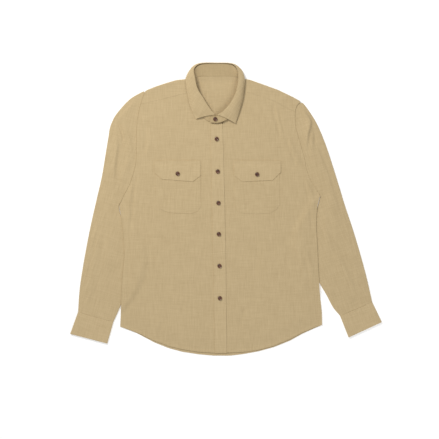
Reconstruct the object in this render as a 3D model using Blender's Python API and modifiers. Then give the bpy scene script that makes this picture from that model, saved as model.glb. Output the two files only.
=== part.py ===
"""A long-sleeved button-down shirt, buttoned and laid flat on its back.

X runs across the shirt, +X to its wearer's left sleeve. Y runs from the hem to the collar.
Z is up from the surface that the shirt lies on. The tables are in millimetres.
"""

import math

import bpy
import numpy as np

MM = 0.001

# Cloth walls and the room between them
WALL = 1.3
FACED_WALL = 1.8
SEAM_GAP = 0.3
REST_GAP = 0.45
BODY_ROOM = 2.5
ARMHOLE_ROOM = 2.9
SIDE_ROOM = 0.45
SLEEVE_EDGE = 3.8
SLEEVE_SWELL = 1.7
SHOULDER_FOLD = 5.4
CUFF_HEIGHT = 4.9
CUFF_DEPTH = 63.0
SLEEVE_FREE = 200.0
TUCK_LIFT = SLEEVE_EDGE + 0.6
TUCK_RUN = 36.0
TUCK_PLATEAU = 13.0
ARMHOLE_LAP = 0.6
SECTION_SKEW = 0.05
ARMHOLE_CLEAR = 2.0

# Outline of the body, as (x, y) from the top down
ARMHOLE = {
    "right": [(-224, 334), (-234, 309), (-241, 284), (-248, 245), (-250, 181), (-252, 130),
              (-265, 80), (-284, 41), (-299, 10)],
    "left": [(210, 303), (197, 288), (193, 267), (195, 231), (206, 189), (218, 147),
             (225, 113), (235, 83), (249, 62), (263, 38)],
}
SIDE = {
    "right": [(-299, 10), (-293, -21), (-286, -77), (-284, -127), (-290, -197), (-293, -262),
              (-296, -328)],
    "left": [(263, 38), (255, 7), (252, -49), (255, -102), (258, -169), (263, -239),
             (268, -287), (269, -323)],
}
FRONT_HEM = [(-296, -328), (-249, -344), (-200, -367), (-160, -382), (-123, -391), (-78, -398),
             (-31, -401), (45, -399), (90, -393), (134, -381), (179, -362), (213, -344),
             (246, -330), (269, -323)]
BACK_HEM = [(-296, -328), (-249, -346), (-200, -372), (-160, -388), (-123, -398), (-78, -405),
            (-34, -409), (11, -409), (45, -405), (90, -397), (134, -385), (179, -367),
            (213, -348), (246, -333), (269, -323)]

# Inner edge of each front, as (y, x): the opening at the centre, then the neck
INNER_EDGE = {
    "right": [(-402, -1), (240, -13), (243, -30), (251, -53), (283, -78.5), (311, -93.5),
              (330, -97.5), (366, -97.5)],
    "left": [(-402, 2.4), (-111, -0.6), (74, -4.6), (239, -9.6), (244, -7.5), (251, -0.5),
             (283, 25.5), (311, 40.5), (332, 45.0), (366, 44.5)],
}
SHOULDER = {
    "right": [(-224, 334), (-196, 345), (-168, 354), (-140, 362), (-97.5, 366.5)],
    "left": [(210, 303), (190, 314), (146, 335), (101, 351), (67, 363), (44.5, 366.5)],
}
# Where the front yoke seam meets the armhole and the neck, and how far it bows upward
YOKE_SEAM = {"right": (295, 330, 0.0), "left": (273, 332, 5.0)}
BACK_YOKE_SEAM = 258
BACK_NECK = [(-97.5, 364), (-80, 371), (-27, 373), (27, 371), (44.5, 364)]

# Sleeves: outer edge from the shoulder down, inner edge from the underarm down
SLEEVE_OUTER = {
    "right": [(-224, 334), (-246, 323), (-266, 311), (-283, 295), (-297, 279), (-311, 261),
              (-319, 245), (-325, 228), (-329, 203), (-336, 161), (-347, 94), (-363, 24),
              (-381, -57), (-399, -153), (-409, -220), (-414, -287)],
    "left": [(210, 303), (221, 291), (238, 267), (252, 244), (266, 214), (280, 178),
             (297, 127), (316, 66), (333, 10), (356, -59), (378, -133), (395, -197),
             (409, -259)],
}
SLEEVE_INNER = {
    "right": [(-300, 10), (-295.5, -13), (-285, -34), (-269, -63), (-252, -102), (-248, -147),
              (-258, -189), (-275, -228), (-294, -267), (-305, -293), (-315, -314)],
    "left": [(264, 38), (257.5, 12), (250, -8), (230, -31), (214, -66), (216, -108),
             (232, -153), (258, -200), (281, -239), (301, -276), (319, -297)],
}
# Cuff corners: seam outer, seam inner, edge inner, edge outer
CUFF = {
    "right": [(-414, -287), (-315, -314), (-332, -375), (-436, -348)],
    "left": [(409, -259), (319, -297), (343, -358), (436, -315)],
}
# Edge of the tucked sleeve under the body, as (y, x), kept outside the body where none is under it
TUCK = {
    "right": [(-300, -330), (-275, -308), (-255, -291), (-228, -275), (-189, -258), (-147, -248),
              (-102, -252), (-63, -269), (-34, -284), (-13, -294), (14, -312), (60, -340)],
    "left": [(-260, 300), (-225, 278), (-200, 260), (-153, 230), (-108, 215), (-66, 213),
             (-31, 230), (-4, 248), (14, 257), (40, 276), (80, 310)],
}

# Placket edges, as (y, x)
PLACKET_TOP = 240.4
PLACKET_BOTTOM = -401
PLACKET_LEFT = [(-401, -31), (-111, -36), (74, -40), (241, -43)]
PLACKET_RIGHT = [(-401, 2), (-111, -1), (74, -5), (241, -10)]
PLACKET_STEP = 1.5

# Breast pockets: left and right edge, top, and the lower outline as (x, y)
POCKET_TOP = 121
POCKET = {
    "right": [(-197, 16), (-187, 2), (-163, -8), (-130, -11), (-95, -11), (-80, -5), (-71, 8)],
    "left": [(25, 8), (34, -5), (49, -11), (85, -12), (122, -10), (141, 0), (150, 14)],
}
FLAP_TOP = 137
FLAP = {
    "right": [(-200, 103), (-179, 85), (-93, 78), (-71, 95)],
    "left": [(23, 95), (46, 78), (130, 82), (153, 104)],
}

# Folds of the cloth: piece, half width, height and the line along the crest or trough
FOLDS = [
    ("sleeve_left", 11, 2.6, [(214, 286), (237, 256), (240, 238), (234, 205), (233, 165), (240, 110)]),
    ("sleeve_left", 9, -1.4, [(228, 285), (254, 236), (250, 200), (252, 150)]),
    ("sleeve_left", 12, 2.0, [(300, -120), (326, -160), (360, -232)]),
    ("sleeve_left", 16, 1.6, [(290, 60), (300, -20), (320, -100)]),
    ("sleeve_right", 10, 2.4, [(-252, 312), (-290, 276), (-306, 244)]),
    ("sleeve_right", 12, -1.6, [(-290, 215), (-285, 150), (-294, 90)]),
    ("sleeve_right", 11, 2.4, [(-268, 210), (-264, 150), (-276, 92)]),
    ("sleeve_right", 12, 2.0, [(-352, -20), (-376, -120), (-392, -190)]),
    ("sleeve_right", 12, 1.6, [(-345, -40), (-366, -150), (-388, -260)]),
    ("body", 12, 1.6, [(-252, 105), (-262, 40), (-263, -20), (-264, -120)]),
    ("body", 12, 1.5, [(156, 215), (178, 170), (186, 120)]),
    ("body", 13, 1.5, [(212, 95), (232, 40), (236, -60)]),
    ("body", 14, 1.4, [(196, -70), (216, -140), (240, -240)]),
]

# Collar stand, from the under end at the front round the back to the upper end:
# neck x, y, z and top x, y, z of its inner side
STAND = [
    (-10, 243.0, 6.4, -11, 260, 7.4),
    (-28, 242.0, 6.4, -30, 262, 8.0),
    (-55, 251.0, 6.4, -44, 277, 10.0),
    (-80, 283.0, 6.4, -66, 312, 13.0),
    (-95, 311.0, 6.4, -79, 337, 14.5),
    (-100, 342.0, 6.4, -86, 368, 14.5),
    (-97, 363.0, 6.4, -88, 389, 13.5),
    (-79, 371.0, 4.4, -75, 402, 12.8),
    (-27, 372.0, 3.8, -27, 406, 12.5),
    (26, 371.0, 4.4, 20, 401, 12.8),
    (44, 363.0, 6.4, 31, 385, 13.5),
    (47, 342.0, 6.4, 33, 362, 14.5),
    (42, 311.0, 6.8, 28, 330, 14.5),
    (27, 283.0, 7.6, 14, 300, 13.2),
    (1, 251.0, 9.2, -8, 273, 12.0),
    (-25, 242.0, 9.6, -24, 261, 10.8),
    (-44, 243.5, 9.6, -44, 258, 10.8),
]
# Collar leaf, the same way round: roll x, y, z, bend x, y, z and outer edge x, y, z
LEAF = [
    (-31, 265, 10.8, -60, 262, 12.0, -84, 253, 6.9),
    (-44, 280, 13.2, -74, 272, 15.0, -89, 264, 6.9),
    (-66, 314, 16.2, -88, 304, 19.5, -101, 294, 8.0),
    (-80, 338, 17.6, -99, 329, 19.5, -107, 321, 8.4),
    (-87, 369, 17.2, -105, 360, 18.5, -111, 349, 8.6),
    (-89, 391, 15.8, -107, 386, 15.0, -112, 366, 8.0),
    (-76, 404, 14.4, -94, 409, 7.0, -100, 381, 3.6),
    (-27, 407, 13.8, -27, 416, 4.5, -27, 379, 2.3),
    (21, 403, 14.4, 39, 406, 7.0, 43, 379, 3.6),
    (32, 387, 15.8, 50, 382, 15.0, 52, 363, 8.0),
    (34, 364, 17.2, 46, 354, 18.5, 50, 341, 8.6),
    (29, 331, 17.6, 41, 321, 19.5, 46, 310, 8.4),
    (15, 301, 16.4, 29, 290, 19.5, 38, 279, 8.0),
    (-8, 274, 15.0, 16, 262, 15.5, 29, 250, 6.9),
    (-24, 264, 13.6, 4, 256, 14.0, 26, 240, 6.9),
]

# Buttons: profile as (radius, height), and places on the placket and flaps, as (x, y)
BUTTON_PROFILE = [(0.0, 1.8), (3.5, 1.8), (4.3, 2.6), (5.3, 2.6), (5.9, 2.0), (5.9, 1.0),
                  (4.7, 0.0), (0.0, 0.0)]
PLACKET_BUTTONS = [(-26, 197), (-23, 106), (-21, 18), (-20, -69), (-18, -158), (-17, -248)]
FLAP_BUTTONS = {"right": (-135, 100), "left": (87, 98)}
COLLAR_BUTTON = (-30, 252)
BUTTON_LIFT = 0.4
BUTTON_STEPS = 14

CLOTH = (0.58, 0.45, 0.26, 1.0)
HORN = (0.13, 0.055, 0.025, 1.0)

# Steps along and across the pieces: close together near the sides, where the body is lifted
COLUMN_PARTS = np.array([0, 0.03, 0.065, 0.105, 0.15, 0.21, 0.3, 0.42, 0.56, 0.71, 0.86, 1])
BODY_ROWS = 20
CHEST_ROWS = 5
CHEST_LINE = {"right": 219, "left": 199}
NECK_FRONT = 241
SLEEVE_RINGS = 18
SLEEVE_FACES = 7
COLLAR_STEPS = 41
LEAF_STEPS = (0.0, 0.14, 0.36, 0.66, 1.0)


def smoothstep(value):
    """An even rise from 0 to 1."""
    value = np.clip(value, 0.0, 1.0)
    return value * value * (3.0 - 2.0 * value)


def spline(points, count=240):
    """Evenly spaced places on a smooth curve through the points."""
    points = np.array(points, dtype=float)
    step = np.sqrt(np.linalg.norm(np.diff(points, axis=0), axis=1))[:, None]
    slope = np.diff(points, axis=0) / step
    tangent = np.vstack([slope[:1], slope[-1:]])
    inner = (step[1:] * slope[:-1] + step[:-1] * slope[1:]) / (step[1:] + step[:-1])
    tangent = np.vstack([tangent[:1], inner, tangent[1:]])
    t = np.linspace(0.0, 1.0, 25)[:, None]
    spans = []
    for i in range(len(points) - 1):
        spans.append(
            (2 * t**3 - 3 * t**2 + 1) * points[i]
            + (t**3 - 2 * t**2 + t) * step[i] * tangent[i]
            + (-2 * t**3 + 3 * t**2) * points[i + 1]
            + (t**3 - t**2) * step[i] * tangent[i + 1]
        )
    dense = np.vstack(spans)
    run = np.concatenate([[0.0], np.cumsum(np.linalg.norm(np.diff(dense, axis=0), axis=1))])
    places = np.linspace(0.0, run[-1], count)
    return np.stack([np.interp(places, run, dense[:, k]) for k in range(points.shape[1])], axis=1)


def along(curve, part):
    """Places at a part, 0 to 1, of an evenly spaced curve."""
    part = np.asarray(part, dtype=float)
    steps = np.linspace(0.0, 1.0, len(curve))
    return np.stack([np.interp(part, steps, curve[:, k]) for k in range(curve.shape[1])], axis=-1)


def read(table, value):
    """Second column of a table at a value of its first column."""
    table = np.array(sorted(table), dtype=float)
    return np.interp(value, table[:, 0], table[:, 1])


OUTER_CURVE = {}
for wearer_side in ("right", "left"):
    side_curve = np.vstack([spline(ARMHOLE[wearer_side]), spline(SIDE[wearer_side])])
    OUTER_CURVE[wearer_side] = side_curve[np.argsort(side_curve[:, 1])]


def outer_x(side, y):
    """Armhole and side edge of the body at a height y."""
    curve = OUTER_CURVE[side]
    return np.interp(y, curve[:, 1], curve[:, 0])


def inner_x(side, y):
    """Centre and neck edge of a front at a height y."""
    return read(INNER_EDGE[side], y)


def body_x(side, y, part):
    """From the outer edge of a front, part 0, to its inner edge, part 1."""
    return outer_x(side, y) * (1 - part) + inner_x(side, y) * part


def polyline_distance(points, x, y):
    """Distance of places from a polyline, and the part of its length where each is nearest."""
    points = np.array(points, dtype=float)
    nearest = np.full(np.shape(x), 1e9)
    part = np.zeros(np.shape(x))
    spans = len(points) - 1
    for i in range(spans):
        dx, dy = points[i + 1] - points[i]
        t = ((x - points[i][0]) * dx + (y - points[i][1]) * dy) / (dx * dx + dy * dy)
        t = np.clip(t, 0.0, 1.0)
        distance = np.hypot(x - points[i][0] - t * dx, y - points[i][1] - t * dy)
        closer = distance < nearest
        nearest = np.where(closer, distance, nearest)
        part = np.where(closer, (i + t) / spans, part)
    return nearest, part


def fold_height(piece, x, y):
    """Sum of a piece's folds at a place."""
    total = np.zeros(np.shape(x))
    for name, width, height, line in FOLDS:
        if name == piece:
            distance, part = polyline_distance(line, x, y)
            ends = smoothstep(part / 0.3) * smoothstep((1 - part) / 0.3)
            total = total + height * ends * np.exp(-((distance / width) ** 2))
    return total


def tuck_height(x, y):
    """How far the body is lifted by the sleeves that lie under its sides."""
    right = smoothstep((read(TUCK["right"], y) + TUCK_RUN - x) / (TUCK_RUN - TUCK_PLATEAU))
    left = smoothstep((x - read(TUCK["left"], y) + TUCK_RUN) / (TUCK_RUN - TUCK_PLATEAU))
    return TUCK_LIFT * np.maximum(right, left)


def front_under(x, y):
    """Height of the underside of the fronts and the front yoke."""
    edge = np.minimum(x - outer_x("right", y), outer_x("left", y) - x)
    wave = 0.35 * np.sin(x / 41 + y / 97) + 0.25 * np.sin(y / 63 - x / 120 + 1)
    tuck = tuck_height(x, y)
    armhole_room = np.maximum(ARMHOLE_ROOM - tuck, SIDE_ROOM)
    edge_room = SIDE_ROOM + (armhole_room - SIDE_ROOM) * smoothstep((y + 60) / 40)
    room = edge_room + (BODY_ROOM + wave - edge_room) * smoothstep(edge / 45)
    hem = smoothstep((y - read(FRONT_HEM, x)) / 45)
    room = SEAM_GAP + (room - SEAM_GAP) * (0.3 + 0.7 * hem)
    folds = fold_height("body", x, y) * smoothstep(edge / 14) * hem
    return tuck + WALL + room + folds


def front_step(side, x, y):
    """How far a front rises to meet the placket that is sewn to it."""
    if side == "right":
        return np.zeros(np.shape(x))
    return PLACKET_STEP * smoothstep(1 - (x - read(PLACKET_RIGHT, y)) / 28)


def make_object(name, mesh, colour):
    """An object with its own material, in the shirt's collection."""
    piece = bpy.data.objects.new(name, mesh)
    material = bpy.data.materials.new(name)
    material.use_nodes = True
    shader = material.node_tree.nodes["Principled BSDF"]
    shader.inputs["Base Color"].default_value = colour
    shader.inputs["Roughness"].default_value = 0.35 if colour is HORN else 0.9
    shader.inputs["Metallic"].default_value = 0.0
    mesh.materials.append(material)
    shirt.objects.link(piece)
    return piece


def grid_faces(rows, columns, ring=False, start=0):
    """Quads between neighbouring rows of points."""
    faces = []
    for i in range(rows - 1):
        for j in range(columns if ring else columns - 1):
            after = (j + 1) % columns
            a = start + i * columns
            faces.append((a + j, a + after, a + columns + after, a + columns + j))
    return faces


def cloth(name, points, faces, wall, outward, even=True):
    """A cloth piece: an open surface given its wall on one side."""
    mesh = bpy.data.meshes.new(name)
    mesh.from_pydata([tuple(p) for p in np.asarray(points).reshape(-1, 3) * MM], [], faces)
    mesh.shade_smooth()
    piece = make_object(name, mesh, CLOTH)
    solid = piece.modifiers.new("Wall", "SOLIDIFY")
    solid.thickness = wall * MM
    solid.offset = outward
    solid.use_even_offset = even
    return piece


def panel(name, grid, wall=WALL):
    """A panel given by the grid of its underside, with its wall above."""
    rows, columns = grid.shape[:2]
    faces = grid_faces(rows, columns)
    a, b, d = grid[0, 0], grid[0, 1], grid[1, 0]
    facing_up = (b[0] - a[0]) * (d[1] - a[1]) - (b[1] - a[1]) * (d[0] - a[0]) > 0
    return cloth(name, grid, faces, wall, 1 if facing_up else -1)


def stack(x, y, z):
    return np.stack(np.broadcast_arrays(x, y, z), axis=-1)


def yoke_seam_y(side, part):
    """Front yoke seam, from the armhole, part 0, to the neck, part 1."""
    armhole, neck, bow = YOKE_SEAM[side]
    return armhole + (neck - armhole) * part + bow * np.sin(math.pi * part)


def body_rows(foot, chest, top, above):
    """Heights of a body panel's rows: from its hem to the chest line, then to its top."""
    below = foot + (chest - foot) * np.linspace(0, 1, BODY_ROWS)[:, None]
    over = chest + (top - chest) * np.linspace(0, 1, above + 1)[1:, None]
    return np.vstack([below, over])


def chest_y(side, part):
    """Line across the chest at the foot of the neck opening."""
    return CHEST_LINE[side] * (1 - part) + NECK_FRONT * part


def make_back():
    """Back panel, from the back yoke seam to the tail, in columns that lie under the fronts'."""
    halves = []
    for side, inward in (("right", 1), ("left", -1)):
        part = COLUMN_PARTS[None, :]
        foot_end = BACK_HEM[0][0] if side == "right" else BACK_HEM[-1][0]
        foot = read(BACK_HEM, foot_end * (1 - part) + inner_x(side, -402) * part)
        y = body_rows(foot, chest_y(side, part), BACK_YOKE_SEAM - SEAM_GAP + 0 * part, 2)
        inset = ARMHOLE_CLEAR * inward * smoothstep((y + 10) / 20)
        x = (outer_x(side, y) + inset) * (1 - part) + inner_x(side, np.minimum(y, 239)) * part
        halves.append(stack(x, y, tuck_height(x, y)))
    panel("back_panel", np.concatenate([halves[0], halves[1][:, -2::-1]], axis=1))


def make_front(side):
    """A front, from the front yoke seam to the hem."""
    part = COLUMN_PARTS[None, :]
    hem_end = FRONT_HEM[0][0] if side == "right" else FRONT_HEM[-1][0]
    foot = read(FRONT_HEM, hem_end * (1 - part) + inner_x(side, -402) * part)
    y = body_rows(foot, chest_y(side, part), yoke_seam_y(side, part) - SEAM_GAP, CHEST_ROWS)
    x = body_x(side, y, part)
    grid = stack(x, y, front_under(x, y) + front_step(side, x, y))
    panel("front_" + side, grid if side == "right" else grid[:, ::-1])


def shoulder_columns(side):
    """Points of the yoke over one shoulder: up the back, round the fold, down the front."""
    part = COLUMN_PARTS
    radius = SHOULDER_FOLD / 2
    fold_y = read(SHOULDER[side], body_x(side, read_shoulder_y(side, part), part))
    rows = []
    for rise in (0.0, 0.34, 0.67, 1.0):
        y = BACK_YOKE_SEAM + (fold_y - radius - BACK_YOKE_SEAM) * rise
        inward = ARMHOLE_CLEAR * (1 if side == "right" else -1) * (1 - part)
        rows.append(stack(body_back_x(side, y, part) + inward, y, 0.0))
    for turn in (-45, 0, 45):
        angle = math.radians(turn)
        y = fold_y - radius + radius * math.cos(angle)
        inward = ARMHOLE_CLEAR * (1 if side == "right" else -1) * (1 - part)
        rows.append(stack(body_x(side, y, part) + inward, y, radius * (1 + math.sin(angle))))
    seam_y = yoke_seam_y(side, part)
    for fall in (0.0, 0.3, 0.62, 1.0):
        y = (fold_y - radius) * (1 - fall) + seam_y * fall
        x = body_x(side, y, part)
        top = front_under(x, y) + WALL
        z = SHOULDER_FOLD + (top - SHOULDER_FOLD) * smoothstep((fold_y - radius - y) / 22)
        rows.append(stack(x, y, z))
    return np.array(rows)


def read_shoulder_y(side, part):
    """Height of the shoulder line at a part of the way from the armhole to the neck."""
    line = spline(SHOULDER[side])
    return along(line, part)[..., 1]


def body_back_x(side, y, part):
    """From the armhole, part 0, to the line under the neck point, part 1."""
    return outer_x(side, y) * (1 - part) + inner_x(side, 350) * part


def make_yoke():
    """One yoke over both shoulders; the back neck is its middle edge."""
    right = shoulder_columns("right")
    left = shoulder_columns("left")[:, ::-1]
    rows, columns = right.shape[:2]
    points = list(right.reshape(-1, 3)) + list(left.reshape(-1, 3))
    faces = grid_faces(rows, columns) + grid_faces(rows, columns, start=rows * columns)
    back_rows = 4
    middle = np.linspace(inner_x("right", 350), inner_x("left", 350), 9)[1:-1]
    first = len(points)
    for rise in (0.0, 0.34, 0.67, 1.0):
        top = read(spline(BACK_NECK).tolist(), middle)
        y = BACK_YOKE_SEAM + (top - BACK_YOKE_SEAM) * rise
        points.extend(stack(middle, y, 0.0))
    def corner(row, column):
        if column == 0:
            return row * columns + columns - 1
        if column == len(middle) + 1:
            return rows * columns + row * columns
        return first + row * len(middle) + column - 1
    for row in range(back_rows - 1):
        for column in range(len(middle) + 1):
            faces.append((corner(row, column), corner(row, column + 1),
                          corner(row + 1, column + 1), corner(row + 1, column)))
    cloth("yoke", points, faces, WALL, 1)


def tube_ring(start, end, height, radius, inset):
    """Points round a flattened tube, over the top and back along the bottom, inset by its wall."""
    width = float(np.linalg.norm(end - start))
    turn = np.radians([0.0, 45.0, 90.0])
    bevel = (radius - (radius - inset) * np.cos(turn)) / width
    level = np.sin(turn)
    inner = np.linspace(0.0, 1.0, SLEEVE_FACES + 1)[1:-1]
    top_part = np.concatenate([bevel, inner, 1 - bevel[::-1]])
    top_level = np.concatenate([level, np.ones(len(inner)), level[::-1]])
    low_inner = np.linspace(0.0, 1.0, SLEEVE_FACES - 1)[1:-1]
    low_part = np.concatenate([bevel[1:], low_inner, 1 - bevel[:0:-1]])[::-1]
    low_level = np.concatenate([level[1:], np.ones(len(low_inner)), level[:0:-1]])[::-1]
    top = start + (end - start) * top_part[:, None]
    low = start + (end - start) * low_part[:, None]
    crown = height(top[:, 0], top[:, 1], top_part) - inset
    top_z = radius + (crown - radius) * top_level
    low_z = radius - (radius - inset) * low_level
    return np.vstack([stack(top[:, 0], top[:, 1], top_z), stack(low[:, 0], low[:, 1], low_z)])


def tube(name, rings_out, rings_in):
    """A flattened tube with open ends, from its outer and inner rings."""
    rings_out, rings_in = np.array(rings_out), np.array(rings_in)
    rows, columns = rings_out.shape[:2]
    outer = grid_faces(rows, columns, ring=True)
    inner = [face[::-1] for face in grid_faces(rows, columns, ring=True, start=rows * columns)]
    rims = []
    for row, turned in ((0, True), (rows - 1, False)):
        for j in range(columns):
            a, b = row * columns + j, row * columns + (j + 1) % columns
            rim = (a, b, b + rows * columns, a + rows * columns)
            rims.append(rim[::-1] if turned else rim)
    mesh = bpy.data.meshes.new(name)
    points = np.concatenate([rings_out.reshape(-1, 3), rings_in.reshape(-1, 3)]) * MM
    mesh.from_pydata([tuple(p) for p in points], [], outer + inner + rims)
    if signed_volume(mesh) < 0:
        mesh.flip_normals()
    mesh.shade_smooth()
    return make_object(name, mesh, CLOTH)


def signed_volume(mesh):
    """Volume inside a closed mesh, below 0 where its faces point in."""
    total = 0.0
    for face in mesh.polygons:
        corners = [mesh.vertices[i].co for i in face.vertices]
        for a, b in zip(corners[1:-1], corners[2:]):
            total += corners[0].dot(a.cross(b)) / 6
    return total


def sleeve_ends(side, down):
    """Outer and inner end of a section of a sleeve, down it from 0 to 1."""
    curves = SLEEVE_CURVES[side]
    outer = along(curves["outer"], down)
    inner = along(curves["inner"], down - SECTION_SKEW * math.sin(math.pi * down))
    run = (inner - outer) / np.linalg.norm(inner - outer)
    at_armhole = smoothstep((inner[1] - SLEEVE_INNER[side][0][1]) / 20)
    return outer, inner + run * ARMHOLE_LAP * at_armhole


def make_sleeve(side):
    """A sleeve: a flattened tube in sections from the shoulder point to the cuff seam."""
    name = "sleeve_" + side
    sign = -1 if side == "right" else 1
    rings = {0.0: [], WALL: []}
    for down in np.concatenate([[0.012, 0.035, 0.07], np.linspace(0.11, 1.0, SLEEVE_RINGS - 3)]):
        start, end = sleeve_ends(side, down)
        width = float(np.linalg.norm(end - start))

        def height(x, y, part):
            outside = sign * (x - outer_x(side, y))
            outside = np.where(y < SIDE[side][-1][1], SLEEVE_FREE, outside)
            free = smoothstep((outside - 4) / 30)
            edges = smoothstep(part * width / 26) * smoothstep((1 - part) * width / 16)
            swell = SLEEVE_SWELL * (1 - 0.35 * smoothstep((down - 0.85) / 0.15))
            return SLEEVE_EDGE + free * edges * (swell + fold_height(name, x, y))

        for inset, ring in rings.items():
            ring.append(tube_ring(start, end, height, SLEEVE_EDGE / 2, inset))
    tube(name, rings[0.0], rings[WALL])


def make_cuff(side):
    """A cuff: a stiff flattened band below the sleeve."""
    seam_out, seam_in, edge_in, edge_out = (np.array(p, dtype=float) for p in CUFF[side])
    rings = {0.0: [], FACED_WALL: []}
    for down in (SEAM_GAP / CUFF_DEPTH, 0.1, 0.5, 0.9, 1.0):
        start = seam_out + (edge_out - seam_out) * down
        end = seam_in + (edge_in - seam_in) * down

        def height(x, y, part):
            return np.full(np.shape(x), CUFF_HEIGHT)

        for inset, ring in rings.items():
            ring.append(tube_ring(start, end, height, CUFF_HEIGHT / 2, inset))
    tube("cuff_" + side, rings[0.0], rings[FACED_WALL])


def make_placket():
    """The folded strip on the left front, lying over the right front."""
    part = np.linspace(0, 1, 4)[None, :]
    y = np.linspace(PLACKET_BOTTOM, PLACKET_TOP, 26)[:, None]
    x = read(PLACKET_LEFT, y) * (1 - part) + read(PLACKET_RIGHT, y) * part
    panel("placket", stack(x, y, placket_under(x, y)), FACED_WALL)


def placket_under(x, y):
    return front_under(x, y) + WALL + REST_GAP


def pocket_under(side, x, y):
    return front_under(x, y) + front_step(side, x, y) + WALL + REST_GAP


def flap_under(side, x, y):
    """A flap lies on its pocket, and on the front above the pocket's mouth."""
    over_pocket = smoothstep((POCKET_TOP + 11 - y) / 9)
    return pocket_under(side, x, y) + (WALL + SEAM_GAP) * over_pocket


def outline_columns(outline, steps):
    """Columns across an outline, with one at each of its corners."""
    xs = [x for x, _ in outline]
    return np.unique(np.round(np.concatenate([np.linspace(xs[0], xs[-1], steps), xs]), 3))


def make_pocket(side):
    x = outline_columns(POCKET[side], 6)[None, :]
    foot = read(POCKET[side], x)
    y = foot + (POCKET_TOP - foot) * np.linspace(0, 1, 6)[:, None]
    panel("pocket_" + side, stack(x, y, pocket_under(side, x, y)))


def make_flap(side):
    x = outline_columns(FLAP[side], 7)[None, :]
    foot = read(FLAP[side], x)
    mouth = POCKET_TOP + 2
    low = foot + (mouth - foot) * np.linspace(0, 1, 4)[:, None]
    high = mouth + (FLAP_TOP - mouth) * np.array([0.55, 1.0])[:, None] + 0 * x
    y = np.vstack([low, high])
    panel("flap_" + side, stack(x, y, flap_under(side, x, y)), FACED_WALL)


def make_stand():
    """The band that stands round the neck, its upper end lapped over its under end."""
    rows = np.array(STAND, dtype=float)
    neck = spline(rows[:, :3], COLLAR_STEPS)
    top = spline(rows[:, 3:], COLLAR_STEPS)
    grid = np.array([neck, neck * 0.5 + top * 0.5, top])
    cloth("collar_stand", grid, grid_faces(3, COLLAR_STEPS), FACED_WALL, -1, even=False)


def make_leaf():
    """The collar's fall, rolled over the top of the stand."""
    rows = np.array(LEAF, dtype=float)
    roll, bend, edge = (spline(rows[:, k:k + 3], COLLAR_STEPS) for k in (0, 3, 6))
    grid = []
    for t in LEAF_STEPS:
        grid.append((1 - t) ** 2 * roll + 2 * t * (1 - t) * bend + t * t * edge)
    faces = grid_faces(len(LEAF_STEPS), COLLAR_STEPS)
    cloth("collar_leaf", np.array(grid), faces, FACED_WALL, 1, even=False)


def make_button(name, x, y, z, tilt=0.0):
    """A turned button with a raised rim."""
    mesh = bpy.data.meshes.new(name)
    profile = [(r * MM, 0.0, height * MM) for r, height in BUTTON_PROFILE]
    mesh.from_pydata(profile, [(i, i + 1) for i in range(len(profile) - 1)], [])
    button = make_object(name, mesh, HORN)
    turn = button.modifiers.new("Turn", "SCREW")
    turn.steps = BUTTON_STEPS
    turn.render_steps = BUTTON_STEPS
    turn.use_merge_vertices = True
    turn.merge_threshold = 0.00001
    turn.use_smooth_shade = True
    button.location = (x * MM, y * MM, z * MM)
    button.rotation_euler[0] = tilt


def make_buttons():
    """One button on the stand, six on the placket and one on each flap."""
    x, y = COLLAR_BUTTON
    upper_end = np.array(STAND[-2:], dtype=float)
    low, high = upper_end[:, 1:3].mean(axis=0), upper_end[:, 4:6].mean(axis=0)
    slope = (high[1] - low[1]) / (high[0] - low[0])
    z = low[1] + slope * (y - low[0]) + FACED_WALL + BUTTON_LIFT
    make_button("button_collar", x, y, z, math.atan(slope))
    for number, (x, y) in enumerate(PLACKET_BUTTONS, 1):
        z = placket_under(x, y) + FACED_WALL + BUTTON_LIFT
        make_button(f"button_front_{number}", x, y, float(z))
    for side, (x, y) in FLAP_BUTTONS.items():
        z = flap_under(side, x, y) + FACED_WALL + BUTTON_LIFT
        make_button("button_flap_" + side, x, y, float(z))


for old in list(bpy.data.objects):
    bpy.data.objects.remove(old, do_unlink=True)
shirt = bpy.data.collections.new("button_down_shirt")
bpy.context.scene.collection.children.link(shirt)

SLEEVE_CURVES = {}
for wearer_side in ("right", "left"):
    inner_line = np.vstack([spline(ARMHOLE[wearer_side]), spline(SLEEVE_INNER[wearer_side])])
    SLEEVE_CURVES[wearer_side] = {
        "outer": spline(SLEEVE_OUTER[wearer_side]),
        "inner": inner_line,
    }

make_back()
make_yoke()
for wearer_side in ("right", "left"):
    make_front(wearer_side)
    make_sleeve(wearer_side)
    make_cuff(wearer_side)
    make_pocket(wearer_side)
    make_flap(wearer_side)
make_placket()
make_stand()
make_leaf()
make_buttons()
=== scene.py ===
"""A long-sleeved button-down shirt, buttoned and laid flat on its back, seen from above.

The tables are in millimetres, in the CAD's frame: X runs to the wearer's left sleeve, Y to the
collar and Z up from the surface that the shirt lies on.
"""

import math

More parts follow.
